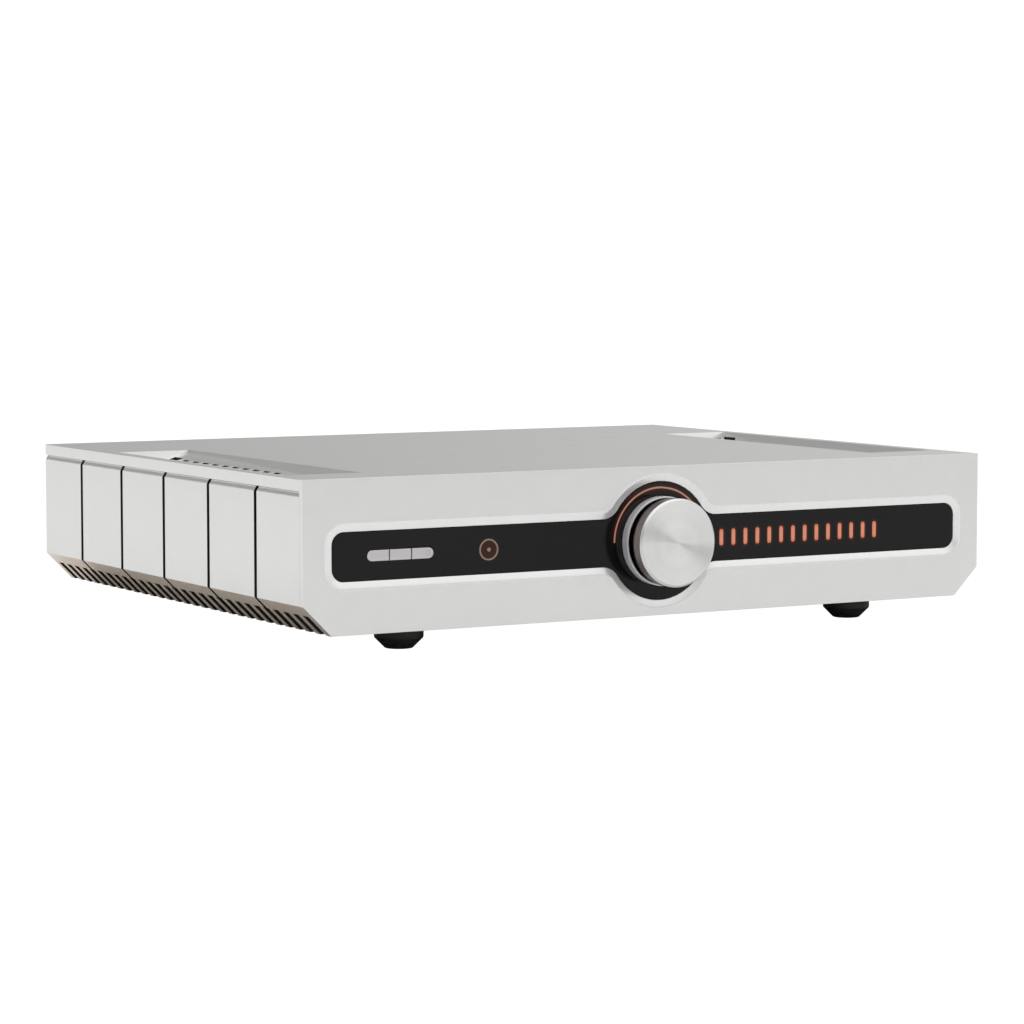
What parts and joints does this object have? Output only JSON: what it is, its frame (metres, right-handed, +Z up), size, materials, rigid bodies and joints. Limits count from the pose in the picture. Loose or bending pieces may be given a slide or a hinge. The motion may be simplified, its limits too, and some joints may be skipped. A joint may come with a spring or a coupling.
{
  "type": "integrated amplifier",
  "caption": "Low silver integrated amplifier with a black display strip, a round volume knob, sprung push buttons, vented sides and top, and screw speaker terminals at the back.",
  "frame": {"origin": "on the floor, under the middle of the whole box, knob and terminals included", "axes": "+X to the right seen from the front, +Y from the front panel to the back, +Z up"},
  "size_m": [0.432, 0.388, 0.0933],
  "materials": {
    "case_silver": "fine satin anodised",
    "bright_aluminium": "spun and bright-turned",
    "rear_paint": "fine texture paint on steel",
    "steel_sheet": "zinc-plated sheet",
    "window_black": "polished black",
    "black_plastic": "moulded matt black",
    "black_gloss_plastic": "clear-coated black",
    "red_plastic": "clear red",
    "foot_black": "moulded matt black",
    "orange_light": "lit orange",
    "circuit_board": "green solder mask",
    "transformer_core": "taped copper winding on a steel core",
    "capacitor_sleeve": "blue sleeve",
    "heat_sink_black": "black anodised",
    "brass": "gold-plated"
  },
  "bodies": {
    "chassis": {"front_panel": "case_silver", "top_cover": "case_silver", "left_side_panel": "case_silver", "right_side_panel": "case_silver", "rear_panel": "rear_paint", "base_plate": "steel_sheet", "front_subplate": "steel_sheet", "display_window": "window_black", "front_left_foot": "foot_black", "front_right_foot": "foot_black", "rear_left_foot": "foot_black", "rear_right_foot": "foot_black", "knob_collar": "bright_aluminium", "encoder_body": "steel_sheet", "encoder_nut": "brass", "left_button_switch": "black_plastic", "middle_button_switch": "black_plastic", "right_button_switch": "black_plastic", "bar_light_guide": "orange_light", "arc_light_guide": "orange_light", "ring_light_guide": "orange_light", "control_board": "circuit_board", "power_supply_board": "circuit_board", "amplifier_board": "circuit_board", "input_board": "circuit_board", "transformer": "transformer_core", "transformer_pad": "foot_black", "transformer_dish": "steel_sheet", "transformer_bolt": "steel_sheet", "left_capacitor": "capacitor_sleeve", "right_capacitor": "capacitor_sleeve", "left_heat_sink": "heat_sink_black", "right_heat_sink": "heat_sink_black", "left_rear_transistor": "black_plastic", "left_front_transistor": "black_plastic", "right_rear_transistor": "black_plastic", "right_front_transistor": "black_plastic", "mains_inlet": "black_plastic", "mains_switch_frame": "black_plastic", "mains_harness": "black_plastic", "analogue_sockets": "black_plastic", "digital_sockets": "black_plastic", "earth_post": "brass", "right_plus_post": "brass", "right_minus_post": "brass", "left_plus_post": "brass", "left_minus_post": "brass"},
    "knob": {"volume_knob": "bright_aluminium", "knob_hub": "black_plastic", "knob_grub_screw": "steel_sheet", "encoder_shaft": "steel_sheet"},
    "left_button": {"left_button": "bright_aluminium"},
    "middle_button": {"middle_button": "bright_aluminium"},
    "right_button": {"right_button": "bright_aluminium"},
    "mains_rocker": {"mains_switch_rocker": "black_plastic"},
    "right_plus_cap": {"right_plus_cap": "red_plastic"},
    "right_minus_cap": {"right_minus_cap": "black_gloss_plastic"},
    "left_plus_cap": {"left_plus_cap": "red_plastic"},
    "left_minus_cap": {"left_minus_cap": "black_gloss_plastic"},
    "earth_nut": {"earth_nut": "brass"}
  },
  "joints": [
    {"name": "knob_turn", "type": "hinge", "parent": "chassis", "child": "knob", "pos_m": [0, -0.176, 0.0526], "axis": [0, 1, 0], "continuous": true},
    {"name": "left_button_press", "type": "slide", "parent": "chassis", "child": "left_button", "axis": [0, 1, 0], "range_m": [0, 0.001], "stiffness_N_per_m": 600, "springref_m": -0.0005},
    {"name": "middle_button_press", "type": "slide", "parent": "chassis", "child": "middle_button", "axis": [0, 1, 0], "range_m": [0, 0.001], "stiffness_N_per_m": 600, "springref_m": -0.0005},
    {"name": "right_button_press", "type": "slide", "parent": "chassis", "child": "right_button", "axis": [0, 1, 0], "range_m": [0, 0.001], "stiffness_N_per_m": 600, "springref_m": -0.0005},
    {"name": "mains_rocker_tip", "type": "hinge", "parent": "chassis", "child": "mains_rocker", "pos_m": [-0.12, 0.1715, 0.04], "axis": [-1, 0, 0], "range_deg": [0, 16]},
    {"name": "right_plus_cap_turn", "type": "hinge", "parent": "chassis", "child": "right_plus_cap", "pos_m": [-0.082, 0.172, 0.04], "axis": [0, 1, 0], "range_deg": [0, 900]},
    {"name": "right_minus_cap_turn", "type": "hinge", "parent": "chassis", "child": "right_minus_cap", "pos_m": [-0.06, 0.172, 0.04], "axis": [0, 1, 0], "range_deg": [0, 900]},
    {"name": "left_plus_cap_turn", "type": "hinge", "parent": "chassis", "child": "left_plus_cap", "pos_m": [-0.03, 0.172, 0.04], "axis": [0, 1, 0], "range_deg": [0, 900]},
    {"name": "left_minus_cap_turn", "type": "hinge", "parent": "chassis", "child": "left_minus_cap", "pos_m": [-0.008, 0.172, 0.04], "axis": [0, 1, 0], "range_deg": [0, 900]},
    {"name": "earth_nut_turn", "type": "hinge", "parent": "chassis", "child": "earth_nut", "pos_m": [0.034, 0.172, 0.04], "axis": [0, 1, 0], "range_deg": [0, 900]}
  ]
}
